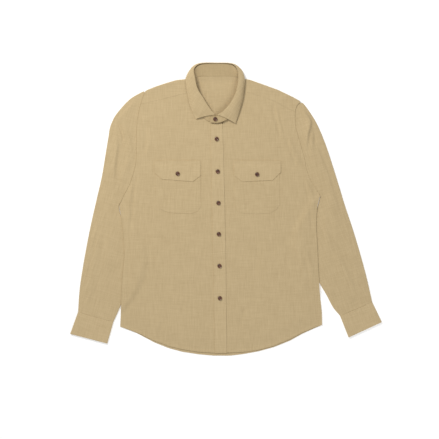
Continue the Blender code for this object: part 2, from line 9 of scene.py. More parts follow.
import bpy
import mathutils
import numpy as np
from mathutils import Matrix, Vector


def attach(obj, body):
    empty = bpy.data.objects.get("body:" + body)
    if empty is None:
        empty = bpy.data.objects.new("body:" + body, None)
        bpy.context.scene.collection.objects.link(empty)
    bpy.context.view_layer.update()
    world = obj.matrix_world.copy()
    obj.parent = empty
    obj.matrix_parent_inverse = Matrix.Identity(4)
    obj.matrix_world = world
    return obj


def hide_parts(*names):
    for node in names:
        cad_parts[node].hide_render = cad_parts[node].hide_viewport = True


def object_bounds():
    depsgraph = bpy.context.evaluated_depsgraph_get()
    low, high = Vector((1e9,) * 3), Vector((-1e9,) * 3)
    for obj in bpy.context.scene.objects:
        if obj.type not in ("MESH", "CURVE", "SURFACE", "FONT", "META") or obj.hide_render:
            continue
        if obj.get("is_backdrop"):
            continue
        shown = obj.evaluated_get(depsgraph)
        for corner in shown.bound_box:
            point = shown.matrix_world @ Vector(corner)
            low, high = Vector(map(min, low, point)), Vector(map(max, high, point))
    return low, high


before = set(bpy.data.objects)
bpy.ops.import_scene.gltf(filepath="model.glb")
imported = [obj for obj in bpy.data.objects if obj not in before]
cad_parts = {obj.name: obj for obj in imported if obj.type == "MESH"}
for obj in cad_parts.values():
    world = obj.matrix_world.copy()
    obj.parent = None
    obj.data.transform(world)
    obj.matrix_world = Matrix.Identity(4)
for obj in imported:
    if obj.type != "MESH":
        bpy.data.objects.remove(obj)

CAD_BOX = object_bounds()
MM = 0.001

# Cloth walls and the room between them
WALL = 0.8
POCKET_WALL = 0.6
FACED_WALL = 1.2
SEAM_GAP = 0.15
REST_GAP = 0.08
BODY_ROOM = 2.9
ARMHOLE_ROOM = 2.9
SIDE_ROOM = 0.3
SLEEVE_EDGE = 3.8
SLEEVE_SWELL = 1.7
SHOULDER_FOLD = 5.4
CUFF_HEIGHT = 4.6
CUFF_DEPTH = 63.0
SLEEVE_FREE = 200.0
TUCK_LIFT = SLEEVE_EDGE + 0.6
TUCK_RUN = 36.0
TUCK_PLATEAU = 13.0
ARMHOLE_LAP = 0.6
SECTION_SKEW = 0.05
ARMHOLE_CLEAR = 2.0

# Outline of the body, as (x, y) from the top down
ARMHOLE = {
    "right": [(-224, 334), (-234, 309), (-241, 284), (-248, 245), (-250, 181), (-252, 130),
              (-265, 80), (-284, 41), (-299, 10)],
    "left": [(210, 303), (197, 288), (193, 267), (195, 231), (206, 189), (218, 147),
             (225, 113), (235, 83), (249, 62), (263, 38)],
}
SIDE = {
    "right": [(-299, 10), (-293, -21), (-286, -77), (-284, -127), (-290, -197), (-293, -262),
              (-296, -328)],
    "left": [(263, 38), (255, 7), (252, -49), (255, -102), (258, -169), (263, -239),
             (268, -287), (269, -323)],
}
FRONT_HEM = [(-296, -328), (-249, -344), (-200, -367), (-160, -382), (-123, -391), (-78, -398),
             (-31, -401), (45, -399), (90, -393), (134, -381), (179, -362), (213, -344),
             (246, -330), (269, -323)]
BACK_HEM = [(-296, -328), (-249, -346), (-200, -372), (-160, -388), (-123, -398), (-78, -405),
            (-34, -409), (11, -409), (45, -405), (90, -397), (134, -385), (179, -367),
            (213, -348), (246, -333), (269, -323)]

# Inner edge of each front, as (y, x): the opening at the centre, then the neck
INNER_EDGE = {
    "right": [(-402, -1), (240, -13), (243, -30), (251, -53), (283, -78.5), (311, -93.5),
              (330, -97.5), (366, -97.5)],
    "left": [(-402, 2.4), (-111, -0.6), (74, -4.6), (239, -9.6), (244, -7.5), (251, -0.5),
             (283, 25.5), (311, 40.5), (332, 45.0), (366, 44.5)],
}
SHOULDER = {
    "right": [(-224, 334), (-196, 345), (-168, 354), (-140, 362), (-97.5, 366.5)],
    "left": [(210, 303), (190, 314), (146, 335), (101, 351), (67, 363), (44.5, 366.5)],
}
# Where the front yoke seam meets the armhole and the neck, and how far it bows upward
YOKE_SEAM = {"right": (295, 330, 0.0), "left": (273, 332, 5.0)}
BACK_YOKE_SEAM = 258
BACK_NECK = [(-97.5, 364), (-80, 371), (-27, 373), (27, 371), (44.5, 364)]

# Sleeves: outer edge from the shoulder down, inner edge from the underarm down
SLEEVE_OUTER = {
    "right": [(-224, 334), (-246, 323), (-266, 311), (-283, 295), (-297, 279), (-311, 261),
              (-319, 245), (-325, 228), (-329, 203), (-336, 161), (-347, 94), (-363, 24),
              (-381, -57), (-399, -153), (-409, -220), (-414, -287)],
    "left": [(210, 303), (221, 291), (238, 267), (252, 244), (266, 214), (280, 178),
             (297, 127), (316, 66), (333, 10), (356, -59), (378, -133), (395, -197),
             (409, -259)],
}
SLEEVE_INNER = {
    "right": [(-300, 10), (-295.5, -13), (-285, -34), (-269, -63), (-252, -102), (-248, -147),
              (-258, -189), (-275, -228), (-294, -267), (-305, -293), (-315, -314)],
    "left": [(264, 38), (257.5, 12), (250, -8), (230, -31), (214, -66), (216, -108),
             (232, -153), (258, -200), (281, -239), (301, -276), (319, -297)],
}
# Cuff corners: seam outer, seam inner, edge inner, edge outer
CUFF = {
    "right": [(-414, -287), (-315, -314), (-332, -375), (-436, -348)],
    "left": [(409, -259), (319, -297), (343, -358), (436, -315)],
}
# Edge of the tucked sleeve under the body, as (y, x), kept outside the body where none is under it
TUCK = {
    "right": [(-300, -330), (-275, -308), (-255, -291), (-228, -275), (-189, -258), (-147, -248),
              (-102, -252), (-63, -269), (-34, -284), (-13, -294), (14, -312), (60, -340)],
    "left": [(-260, 300), (-225, 278), (-200, 260), (-153, 230), (-108, 215), (-66, 213),
             (-31, 230), (-4, 248), (14, 257), (40, 276), (80, 310)],
}

# Placket edges, as (y, x)
PLACKET_TOP = 240.4
PLACKET_BOTTOM = -401
PLACKET_LEFT = [(-401, -31), (-111, -36), (74, -40), (241, -43)]
PLACKET_RIGHT = [(-401, 2), (-111, -1), (74, -5), (241, -10)]

# Breast pockets: left and right edge, top, and the lower outline as (x, y)
POCKET_TOP = 121
POCKET = {
    "right": [(-197, 16), (-187, 2), (-163, -8), (-130, -11), (-95, -11), (-80, -5), (-71, 8)],
    "left": [(25, 8), (34, -5), (49, -11), (85, -12), (122, -10), (141, 0), (150, 14)],
}
FLAP_TOP = 137
FLAP = {
    "right": [(-200, 103), (-179, 85), (-93, 78), (-71, 95)],
    "left": [(23, 95), (46, 78), (130, 82), (153, 104)],
}

# Folds of the cloth: piece, half width, height and the line along the crest or trough
FOLDS = [
    ("sleeve_left", 11, 2.6, [(214, 286), (237, 256), (240, 238), (234, 205), (233, 165), (240, 110)]),
    ("sleeve_left", 9, -1.4, [(228, 285), (254, 236), (250, 200), (252, 150)]),
    ("sleeve_left", 12, 2.0, [(300, -120), (326, -160), (360, -232)]),
    ("sleeve_left", 16, 1.6, [(290, 60), (300, -20), (320, -100)]),
    ("sleeve_right", 10, 2.4, [(-252, 312), (-290, 276), (-306, 244)]),
    ("sleeve_right", 12, -1.6, [(-290, 215), (-285, 150), (-294, 90)]),
    ("sleeve_right", 11, 2.4, [(-268, 210), (-264, 150), (-276, 92)]),
    ("sleeve_right", 12, 2.0, [(-352, -20), (-376, -120), (-392, -190)]),
    ("sleeve_right", 12, 1.6, [(-345, -40), (-366, -150), (-388, -260)]),
    ("body", 12, 1.6, [(-252, 105), (-262, 40), (-263, -20), (-264, -120)]),
    ("body", 12, 1.5, [(156, 215), (178, 170), (186, 120)]),
    ("body", 13, 1.5, [(212, 95), (232, 40), (236, -60)]),
    ("body", 14, 1.4, [(196, -70), (216, -140), (240, -240)]),
]

# Collar stand, from the under end at the front round the back to the upper end:
# neck x, y, z and top x, y, z of its inner side
STAND = [
    (-10, 243.0, 6.4, -11, 260, 7.4),
    (-28, 242.0, 6.4, -30, 262, 8.0),
    (-55, 251.0, 6.4, -44, 277, 10.0),
    (-80, 283.0, 6.4, -66, 312, 13.0),
    (-95, 311.0, 6.4, -79, 337, 14.5),
    (-100, 342.0, 6.4, -86, 368, 14.5),
    (-97, 363.0, 6.4, -88, 389, 13.5),
    (-79, 371.0, 4.4, -75, 402, 12.8),
    (-27, 372.0, 3.8, -27, 406, 12.5),
    (26, 371.0, 4.4, 20, 401, 12.8),
    (44, 363.0, 6.4, 31, 385, 13.5),
    (47, 342.0, 6.4, 33, 362, 14.5),
    (42, 311.0, 6.8, 28, 330, 14.5),
    (27, 283.0, 7.6, 14, 300, 13.2),
    (1, 251.0, 9.2, -8, 273, 12.0),
    (-25, 242.0, 9.6, -24, 261, 10.8),
    (-44, 243.5, 9.6, -44, 258, 10.8),
]
# Collar leaf, the same way round: roll x, y, z, bend x, y, z and outer edge x, y, z
LEAF = [
    (-31, 265, 10.8, -60, 262, 12.0, -84, 253, 6.9),
    (-44, 280, 13.2, -74, 272, 15.0, -89, 264, 6.9),
    (-66, 314, 16.2, -88, 304, 19.5, -101, 294, 8.0),
    (-80, 338, 17.6, -99, 329, 19.5, -107, 321, 8.4),
    (-87, 369, 17.2, -105, 360, 18.5, -111, 349, 8.6),
    (-89, 391, 15.8, -107, 386, 15.0, -112, 366, 8.0),
    (-76, 404, 14.4, -94, 409, 7.0, -100, 381, 3.6),
    (-27, 407, 13.8, -27, 416, 4.5, -27, 379, 2.3),
    (21, 403, 14.4, 39, 406, 7.0, 43, 379, 3.6),
    (32, 387, 15.8, 50, 382, 15.0, 52, 363, 8.0),
    (34, 364, 17.2, 46, 354, 18.5, 50, 341, 8.6),
    (29, 331, 17.6, 41, 321, 19.5, 46, 310, 8.4),
    (15, 301, 16.4, 29, 290, 19.5, 38, 279, 8.0),
    (-8, 274, 15.0, 16, 262, 15.5, 29, 250, 6.9),
    (-24, 264, 13.6, 4, 256, 14.0, 26, 240, 6.9),
]

# Buttons: places on the placket and flaps, as (x, y)
PLACKET_BUTTONS = [(-26, 197), (-23, 106), (-21, 18), (-20, -69), (-18, -158), (-17, -248)]
FLAP_BUTTONS = {"right": (-135, 100), "left": (87, 98)}
COLLAR_BUTTON = (-30, 252)
BUTTON_LIFT = 0.4

CHEST_LINE = {"right": 219, "left": 199}
NECK_FRONT = 241

# Creases finer than the solids' folds: piece, half width to the east and to the west of the
# line, height, and the line along the crest or trough from the top down. The widths and heights
# are in millimetres; the lines' points were read off in pixels of the photograph.
PIXEL_SIZE = 2.8
ORIGIN_PIXEL = (226, 209.5)
CREASES = [
    ("sleeve_left", 3.5, 13, 3.0, [(297.8, 104.1), (304.2, 112.4), (309.9, 119.4), (309.3, 125.8),
        (306.8, 136), (305.5, 148.8), (305.5, 161.5), (306.6, 170)]),
    ("sleeve_left", 7, 4, -2.6, [(301, 104.5), (308, 113), (312.6, 119.8), (312.4, 126),
        (310, 136), (308.3, 150), (308.3, 163)]),
    ("sleeve_left", 4, 4, 2.0, [(300.5, 102), (307.8, 110.8), (313.5, 118.2), (317, 125)]),
    ("sleeve_left", 4, 4, -1.2, [(313, 127), (314.4, 136), (314.6, 147)]),
    ("sleeve_left", 7, 6, -1.8, [(316, 131), (319, 142), (323, 156), (331, 177), (338, 200),
        (346, 222)]),
    ("sleeve_left", 4, 9, 2.0, [(333.5, 251.5), (339, 261), (346, 273), (352, 285), (356, 296)]),
    ("sleeve_left", 5, 5, -1.4, [(334.5, 257), (345.5, 276), (355, 296)]),
    ("sleeve_left", 6, 6, -1.6, [(352.5, 297.5), (357, 302.5), (362, 306)]),
    ("sleeve_left", 5, 5, -0.9, [(357, 280), (361, 290)]),
    ("sleeve_left", 5, 5, 1.2, [(343, 215), (352, 235), (359, 256)]),
    ("sleeve_left", 9, 9, 1.6, [(322, 200), (325, 225), (328, 250)]),
    ("body", 6, 5, -1.5, [(272.6, 99), (274.9, 115.6), (278, 129.6), (280, 142)]),
    ("body", 5, 5, 1.0, [(275, 100), (277, 113), (281, 128), (283, 140)]),
    ("body", 4, 4, -1.1, [(277.4, 104), (281.9, 126), (285.7, 136)]),
    ("body", 4, 4, -1.0, [(284.8, 96.5), (288.3, 109)]),
    ("body", 4, 6, -1.9, [(284.5, 133), (288.9, 147.5), (293.4, 158.3), (295.5, 170)]),
    ("body", 6, 5, 1.2, [(287.5, 134), (292, 146.5), (297, 157), (300, 170)]),
    ("body", 5, 5, -1.1, [(296.6, 125), (299, 132), (302.5, 140)]),
    ("body", 4, 6, -1.9, [(298.5, 172), (304.5, 184), (309, 202), (311, 217), (312, 236)]),
    ("body", 5, 5, 1.0, [(302, 172), (308, 184), (313, 202), (314.5, 222)]),
    ("body", 6, 7, -1.7, [(294.5, 236), (301, 250), (306, 265), (309, 284), (311.5, 303)]),
    ("body", 7, 6, 1.1, [(298, 236), (305, 250), (310.5, 266), (313, 285)]),
    ("body", 5, 6, -1.4, [(304, 316), (301.5, 324), (299.5, 331)]),
    ("body", 7, 7, 0.9, [(289, 232), (293, 252), (296, 275)]),
    ("body", 6, 7, -1.4, [(145, 119), (146, 132), (145.5, 144), (143, 158)]),
    ("body", 6, 6, 1.0, [(149, 118), (150, 133), (149, 147), (146, 160)]),
    ("body", 6, 4, -2.0, [(137.6, 166), (135.3, 180), (133.3, 197.3), (131.4, 222), (129.2, 240)]),
    ("body", 4, 7, 1.6, [(134.5, 168), (131.8, 182), (129.8, 198), (128, 222), (126.5, 240)]),
    ("body", 4, 3.5, -1.3, [(129.2, 238), (128.4, 262), (128.2, 290), (128.4, 322)]),
    ("body", 3.5, 3.5, 0.9, [(126, 245), (125.3, 262), (125.2, 290), (125.2, 325)]),
    ("body", 5, 4, -1.6, [(162.5, 318), (161.3, 330), (160.8, 344)]),
    ("body", 5, 5, 1.0, [(158, 318), (157.5, 332)]),
    ("body", 4, 4, -1.0, [(183, 340), (183.4, 346)]),
    ("body", 6, 5, -1.2, [(245, 305), (242, 318), (239, 330)]),
    ("body", 8, 7, -0.9, [(160, 182), (166, 192), (171, 203)]),
    ("body", 9, 8, -0.8, [(258, 240), (256, 262), (252, 285)]),
    ("sleeve_right", 3.5, 3.5, -1.9, [(133.5, 100.6), (126, 108), (117.6, 117.2)]),
    ("sleeve_right", 4, 4, 1.6, [(131.5, 99.2), (123.6, 106.8), (115, 116.5)]),
    ("sleeve_right", 4, 3, -2.6, [(116.4, 116.5), (119.5, 126.5), (122.8, 136), (122.8, 144)]),
    ("sleeve_right", 8, 4, -2.0, [(122.5, 140), (119.5, 150), (118.3, 161.6), (117.6, 176),
        (120.5, 191), (120.4, 203)]),
    ("sleeve_right", 3, 8, 1.6, [(113, 120), (116.5, 132), (117.5, 145), (115, 162), (114, 178),
        (117, 196)]),
    ("sleeve_right", 6, 4, 2.2, [(121, 122), (127.5, 134), (132.6, 149), (136, 166), (133.5, 180)]),
    ("sleeve_right", 4, 6, -1.4, [(125.5, 134), (130, 149.4), (131.9, 166.7), (129, 182),
        (122.6, 194)]),
    ("sleeve_right", 3.5, 3.5, -1.2, [(143.5, 97), (140, 105), (135, 114.5), (131.5, 122)]),
    ("sleeve_right", 4, 4, 1.8, [(98.5, 218), (92.5, 242), (86.2, 272), (84.5, 290)]),
    ("sleeve_right", 5, 3.5, -1.9, [(101.5, 218), (95, 243), (89, 270), (87, 288)]),
    ("sleeve_right", 3.5, 4, -1.2, [(97, 213), (90.5, 240), (84, 268)]),
    ("sleeve_right", 3.5, 3.5, 1.3, [(91.8, 289.5), (87.5, 299), (83.6, 309)]),
    ("sleeve_right", 3.5, 3.5, -1.0, [(90, 289), (86, 299), (82, 307)]),
    ("sleeve_right", 9, 9, 1.4, [(112, 225), (108, 250), (106, 275)]),
    ("sleeve_right", 9, 9, -1.0, [(114, 262), (111, 283), (107, 300)]),
]
# Slow waves of the cloth: height, length across, length along and phase
WAVES = [(0.35, 41, 97, 0), (0.25, -120, 63, 1)]
UNDERARM_Y = -60
UNDERARM_RUN = 40
EDGE_FALL = 45
HEM_FALL = 45
HEM_ROOM = 0.3
FOLD_EDGE = 14
FOLD_END = 0.3
PLACKET_STEP = 0.6
PLACKET_STEP_RUN = 12
# The hem: heights of its rows above the edge, and its turned-up band
HEM_ROWS = (0.0, 0.7, 2.0, 4.0, 6.0, 7.2, 8.4, 10.0)
HEM_BAND = 7.6
HEM_BAND_RUN = 1.2
HEM_BAND_HEIGHT = 0.45
GRID_STEP = 3.4
BACK_STEP = 6.0
FINE_STEP = 3.0

def smoothstep(value):
    """An even rise from 0 to 1."""
    value = np.clip(value, 0.0, 1.0)
    return value * value * (3.0 - 2.0 * value)


def spline(points, count=240):
    """Evenly spaced places on a smooth curve through the points."""
    points = np.array(points, dtype=float)
    step = np.sqrt(np.linalg.norm(np.diff(points, axis=0), axis=1))[:, None]
    slope = np.diff(points, axis=0) / step
    tangent = np.vstack([slope[:1], slope[-1:]])
    inner = (step[1:] * slope[:-1] + step[:-1] * slope[1:]) / (step[1:] + step[:-1])
    tangent = np.vstack([tangent[:1], inner, tangent[1:]])
    t = np.linspace(0.0, 1.0, 25)[:, None]
    spans = []
    for i in range(len(points) - 1):
        spans.append(
            (2 * t**3 - 3 * t**2 + 1) * points[i]
            + (t**3 - 2 * t**2 + t) * step[i] * tangent[i]
            + (-2 * t**3 + 3 * t**2) * points[i + 1]
            + (t**3 - t**2) * step[i] * tangent[i + 1]
        )
    dense = np.vstack(spans)
    run = np.concatenate([[0.0], np.cumsum(np.linalg.norm(np.diff(dense, axis=0), axis=1))])
    places = np.linspace(0.0, run[-1], count)
    return np.stack([np.interp(places, run, dense[:, k]) for k in range(points.shape[1])], axis=1)


def along(curve, part):
    """Places at a part, 0 to 1, of an evenly spaced curve."""
    part = np.asarray(part, dtype=float)
    steps = np.linspace(0.0, 1.0, len(curve))
    return np.stack([np.interp(part, steps, curve[:, k]) for k in range(curve.shape[1])], axis=-1)


def read(table, value):
    """Second column of a table at a value of its first column."""
    table = np.array(sorted(table), dtype=float)
    return np.interp(value, table[:, 0], table[:, 1])


OUTER_CURVE = {}
for wearer_side in ("right", "left"):
    side_curve = np.vstack([spline(ARMHOLE[wearer_side]), spline(SIDE[wearer_side])])
    OUTER_CURVE[wearer_side] = side_curve[np.argsort(side_curve[:, 1])]


def outer_x(side, y):
    """Armhole and side edge of the body at a height y."""
    curve = OUTER_CURVE[side]
    return np.interp(y, curve[:, 1], curve[:, 0])


def inner_x(side, y):
    """Centre and neck edge of a front at a height y."""
    return read(INNER_EDGE[side], y)


def body_x(side, y, part):
    """From the outer edge of a front, part 0, to its inner edge, part 1."""
    return outer_x(side, y) * (1 - part) + inner_x(side, y) * part


def polyline_distance(points, x, y):
    """Distance of places from a polyline, and the part of its length where each is nearest."""
    points = np.array(points, dtype=float)
    nearest = np.full(np.shape(x), 1e9)
    part = np.zeros(np.shape(x))
    spans = len(points) - 1
    for i in range(spans):
        dx, dy = points[i + 1] - points[i]
        t = ((x - points[i][0]) * dx + (y - points[i][1]) * dy) / (dx * dx + dy * dy)
        t = np.clip(t, 0.0, 1.0)
        distance = np.hypot(x - points[i][0] - t * dx, y - points[i][1] - t * dy)
        closer = distance < nearest
        nearest = np.where(closer, distance, nearest)
        part = np.where(closer, (i + t) / spans, part)
    return nearest, part


def fold_height(piece, x, y):
    """Sum of a piece's folds at a place."""
    total = np.zeros(np.shape(x))
    for name, width, height, line in FOLDS:
        if name == piece:
            distance, part = polyline_distance(line, x, y)
            ends = smoothstep(part / FOLD_END) * smoothstep((1 - part) / FOLD_END)
            total = total + height * ends * np.exp(-((distance / width) ** 2))
    return total


def tuck_height(x, y):
    """How far the body is lifted by the sleeves that lie under its sides."""
    right = smoothstep((read(TUCK["right"], y) + TUCK_RUN - x) / (TUCK_RUN - TUCK_PLATEAU))
    left = smoothstep((x - read(TUCK["left"], y) + TUCK_RUN) / (TUCK_RUN - TUCK_PLATEAU))
    return TUCK_LIFT * np.maximum(right, left)



def from_pixels(line):
    """A line of the photograph's pixels, in whole millimetres of the frame."""
    across, down = ORIGIN_PIXEL
    return [(round((x - across) * PIXEL_SIZE), round((down - y) * PIXEL_SIZE)) for x, y in line]


def crease_height(piece, x, y):
    """Sum of a piece's finer creases at a place, steeper on one side than on the other."""
    total = np.zeros(np.shape(x))
    for name, east, west, height, line in CREASES:
        if name == piece:
            curve = spline(from_pixels(line), 24)
            distance, part, side = signed_distance(curve, x, y)
            width = np.where(side > 0, east, west)
            ends = smoothstep(part / FOLD_END) * smoothstep((1 - part) / FOLD_END)
            total = total + height * ends * np.exp(-((distance / width) ** 2))
    return total


def signed_distance(points, x, y):
    """Distance from a polyline, the part of its length, and the side: above 0 on its left."""
    nearest = np.full(np.shape(x), 1e9)
    part = np.zeros(np.shape(x))
    side = np.zeros(np.shape(x))
    spans = len(points) - 1
    for i in range(spans):
        dx, dy = points[i + 1] - points[i]
        across = dx * (y - points[i][1]) - dy * (x - points[i][0])
        t = ((x - points[i][0]) * dx + (y - points[i][1]) * dy) / (dx * dx + dy * dy)
        t = np.clip(t, 0.0, 1.0)
        distance = np.hypot(x - points[i][0] - t * dx, y - points[i][1] - t * dy)
        closer = distance < nearest
        nearest = np.where(closer, distance, nearest)
        part = np.where(closer, (i + t) / spans, part)
        side = np.where(closer, across, side)
    return nearest, part, side


def front_under(x, y):
    """Height of the underside of the fronts and the front yoke."""
    edge = np.minimum(x - outer_x("right", y), outer_x("left", y) - x)
    wave = sum(h * np.sin(x / across + y / down + phase) for h, across, down, phase in WAVES)
    tuck = tuck_height(x, y)
    armhole_room = np.maximum(ARMHOLE_ROOM - tuck, SIDE_ROOM)
    edge_room = SIDE_ROOM + (armhole_room - SIDE_ROOM) * smoothstep((y - UNDERARM_Y) / UNDERARM_RUN)
    room = edge_room + (BODY_ROOM + wave - edge_room) * smoothstep(edge / EDGE_FALL)
    hem = smoothstep((y - read(FRONT_HEM, x)) / HEM_FALL)
    room = SEAM_GAP + (room - SEAM_GAP) * (HEM_ROOM + (1 - HEM_ROOM) * hem)
    folds = fold_height("body", x, y) + crease_height("body", x, y)
    return tuck + WALL + room + folds * smoothstep(edge / FOLD_EDGE) * hem


def front_step(side, x, y):
    """How far a front rises to meet the placket that is sewn to it."""
    if side == "right":
        return np.zeros(np.shape(x))
    return PLACKET_STEP * smoothstep(1 - (x - read(PLACKET_RIGHT, y)) / PLACKET_STEP_RUN)


def stack(x, y, z):
    return np.stack(np.broadcast_arrays(x, y, z), axis=-1)


def grid_faces(rows, columns, ring=False, start=0):
    """Quads between neighbouring rows of points."""
    faces = []
    for i in range(rows - 1):
        for j in range(columns if ring else columns - 1):
            after = (j + 1) % columns
            a = start + i * columns
            faces.append((a + j, a + after, a + columns + after, a + columns + j))
    return faces


def make_piece(name, points, faces, material, node=None):
    """A piece of the scene, in the place of a CAD node where one is named."""
    mesh = bpy.data.meshes.new(name)
    mesh.from_pydata([tuple(p) for p in np.asarray(points).reshape(-1, 3) * MM], [], faces)
    mesh.shade_smooth()
    piece = bpy.data.objects.new(name, mesh)
    bpy.context.scene.collection.objects.link(piece)
    mesh.materials.append(material)
    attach(piece, "root")
    if node:
        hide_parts(node)
    return piece


def settle(piece):
    """The piece's modifiers applied, and its sharp edges marked."""
    depsgraph = bpy.context.evaluated_depsgraph_get()
    mesh = bpy.data.meshes.new_from_object(piece.evaluated_get(depsgraph))
    piece.modifiers.clear()
    old = piece.data
    piece.data = mesh
    bpy.data.meshes.remove(old)
    mesh.set_sharp_from_angle(angle=math.radians(50))


def cloth(name, node, points, faces, wall, material, outward):
    """An open surface given its wall on one side."""
    piece = make_piece(name, points, faces, material, node)
    solid = piece.modifiers.new("Wall", "SOLIDIFY")
    solid.thickness = wall * MM
    solid.offset = outward
    settle(piece)
    return piece


def panel(name, node, grid, wall, material):
    """A panel given by the grid of its underside, with its wall above."""
    rows, columns = grid.shape[:2]
    a, b, d = grid[0, 0], grid[0, 1], grid[1, 0]
    facing_up = (b[0] - a[0]) * (d[1] - a[1]) - (b[1] - a[1]) * (d[0] - a[0]) > 0
    outward = 1 if facing_up else -1
    return cloth(name, node, grid, grid_faces(rows, columns), wall, material, outward)


def tube(name, node, rings_out, rings_in, material):
    """A flattened tube with open ends, from its outer and inner rings."""
    rings_out, rings_in = np.array(rings_out), np.array(rings_in)
    rows, columns = rings_out.shape[:2]
    count = rows * columns
    outer = grid_faces(rows, columns, ring=True)
    inner = [face[::-1] for face in grid_faces(rows, columns, ring=True, start=count)]
    rims = []
    for row, turned in ((0, True), (rows - 1, False)):
        for j in range(columns):
            a, b = row * columns + j, row * columns + (j + 1) % columns
            rim = (a, b, b + count, a + count)
            rims.append(rim[::-1] if turned else rim)
    points = np.concatenate([rings_out.reshape(-1, 3), rings_in.reshape(-1, 3)])
    piece = make_piece(name, points, outer + inner + rims, material, node)
    if signed_volume(piece.data) < 0:
        piece.data.flip_normals()
    piece.data.set_sharp_from_angle(angle=math.radians(50))
    return piece


def signed_volume(mesh):
    """Volume inside a closed mesh, below 0 where its faces point in."""
    places = np.zeros(len(mesh.vertices) * 3)
    mesh.vertices.foreach_get("co", places)
    places = places.reshape(-1, 3)
    corners = np.array([tuple(face.vertices)[:4] for face in mesh.polygons])
    a, b, c, d = (places[corners[:, k]] for k in range(4))
    return float((a * (np.cross(b, c) + np.cross(c, d))).sum())


# Materials


def node_tree(name, roughness):
    material = bpy.data.materials.new(name)
    material.use_nodes = True
    shader = material.node_tree.nodes["Principled BSDF"]
    shader.inputs["Roughness"].default_value = roughness
    shader.inputs["Metallic"].default_value = 0.0
    return material, material.node_tree, shader


def stretched_noise(tree, coordinates, scale, detail=2.0):
    """Noise with its own scale on each axis, from coordinates in millimetres."""
    mapping = tree.nodes.new("ShaderNodeMapping")
    mapping.inputs["Scale"].default_value = scale
    tree.links.new(coordinates, mapping.inputs["Vector"])
    noise = tree.nodes.new("ShaderNodeTexNoise")
    noise.inputs["Scale"].default_value = 1.0
    noise.inputs["Detail"].default_value = detail
    noise.inputs["Roughness"].default_value = 0.55
    tree.links.new(mapping.outputs["Vector"], noise.inputs["Vector"])
    return noise.outputs["Fac"]


def math_node(tree, operation, first, second):
    node = tree.nodes.new("ShaderNodeMath")
    node.operation = operation
    for socket, value in zip(node.inputs, (first, second)):
        if isinstance(value, (int, float)):
            socket.default_value = value
        else:
            tree.links.new(value, socket)
    return node.outputs[0]


def weighted(tree, terms):
    """Sum of noises, each less its mean and times its weight."""
    total = 0.5
    for value, weight in terms:
        part = math_node(tree, "MULTIPLY", math_node(tree, "SUBTRACT", value, 0.5), weight)
        total = math_node(tree, "ADD", total, part)
    return total


def linen(name, colour, turn=0.0, contrast=0.16):
    """Plain-woven linen: fine threads both ways, thicker slubs among them."""
    material, tree, shader = node_tree(name, 0.86)
    shader.inputs["Sheen Weight"].default_value = 0.25
    shader.inputs["Sheen Roughness"].default_value = 0.5
    shader.inputs["Sheen Tint"].default_value = (1.0, 0.93, 0.8, 1.0)
    shader.inputs["Specular IOR Level"].default_value = 0.3
    place = tree.nodes.new("ShaderNodeTexCoord")
    frame_mm = tree.nodes.new("ShaderNodeMapping")
    frame_mm.inputs["Scale"].default_value = (1000.0, 1000.0, 1000.0)
    frame_mm.inputs["Rotation"].default_value = (0.0, 0.0, math.radians(turn))
    tree.links.new(place.outputs["Object"], frame_mm.inputs["Vector"])
    at = frame_mm.outputs["Vector"]
    warp = stretched_noise(tree, at, (1.5, 0.035, 0.3))
    weft = stretched_noise(tree, at, (0.03, 1.4, 0.3))
    warp_slub = stretched_noise(tree, at, (0.38, 0.03, 0.05))
    weft_slub = stretched_noise(tree, at, (0.028, 0.36, 0.05))
    cloud = stretched_noise(tree, at, (0.018, 0.018, 0.018), 3.0)
    terms = ((warp, 0.55), (weft, 0.55), (warp_slub, 0.6), (weft_slub, 0.4), (cloud, 0.15))
    tone = weighted(tree, terms)
    ramp = tree.nodes.new("ShaderNodeValToRGB")
    tree.links.new(tone, ramp.inputs["Fac"])
    first, last = ramp.color_ramp.elements
    first.position, last.position = 0.1, 0.9
    first.color = tuple(c * (1 - contrast * k) for c, k in zip(colour, (0.9, 1.0, 1.25))) + (1.0,)
    last.color = tuple(c * (1 + contrast * k) for c, k in zip(colour, (0.9, 1.0, 1.1))) + (1.0,)
    tree.links.new(ramp.outputs["Color"], shader.inputs["Base Color"])
    grain = weighted(tree, ((warp, 1.0), (weft, 1.0), (warp_slub, 0.6), (weft_slub, 0.5)))
    bump = tree.nodes.new("ShaderNodeBump")
    bump.inputs["Strength"].default_value = 0.5
    bump.inputs["Distance"].default_value = 0.0004
    tree.links.new(grain, bump.inputs["Height"])
    tree.links.new(bump.outputs["Normal"], shader.inputs["Normal"])
    return material


def horn(name):
    """Mottled brown horn with a dull polish."""
    material, tree, shader = node_tree(name, 0.32)
    shader.inputs["Coat Weight"].default_value = 0.35
    shader.inputs["Coat Roughness"].default_value = 0.2
    place = tree.nodes.new("ShaderNodeTexCoord")
    scaled = tree.nodes.new("ShaderNodeMapping")
    scaled.inputs["Scale"].default_value = (1000.0, 1000.0, 1000.0)
    tree.links.new(place.outputs["Object"], scaled.inputs["Vector"])
    streak = stretched_noise(tree, scaled.outputs["Vector"], (0.16, 0.42, 0.3), 4.0)
    ramp = tree.nodes.new("ShaderNodeValToRGB")
    tree.links.new(streak, ramp.inputs["Fac"])
    low, high = ramp.color_ramp.elements
    low.position, high.position = 0.32, 0.7
    low.color = (0.045, 0.016, 0.009, 1.0)
    high.color = (0.24, 0.11, 0.06, 1.0)
    middle = ramp.color_ramp.elements.new(0.5)
    middle.color = (0.12, 0.045, 0.022, 1.0)
    tree.links.new(ramp.outputs["Color"], shader.inputs["Base Color"])
    return material


def plain_stage(name, colour):
    material, _, shader = node_tree(name, 0.95)
    shader.inputs["Emission Color"].default_value = (1.0, 1.0, 1.0, 1.0)
    shader.inputs["Emission Strength"].default_value = 0.25
    shader.inputs["Base Color"].default_value = colour
    shader.inputs["Specular IOR Level"].default_value = 0.1
    return material


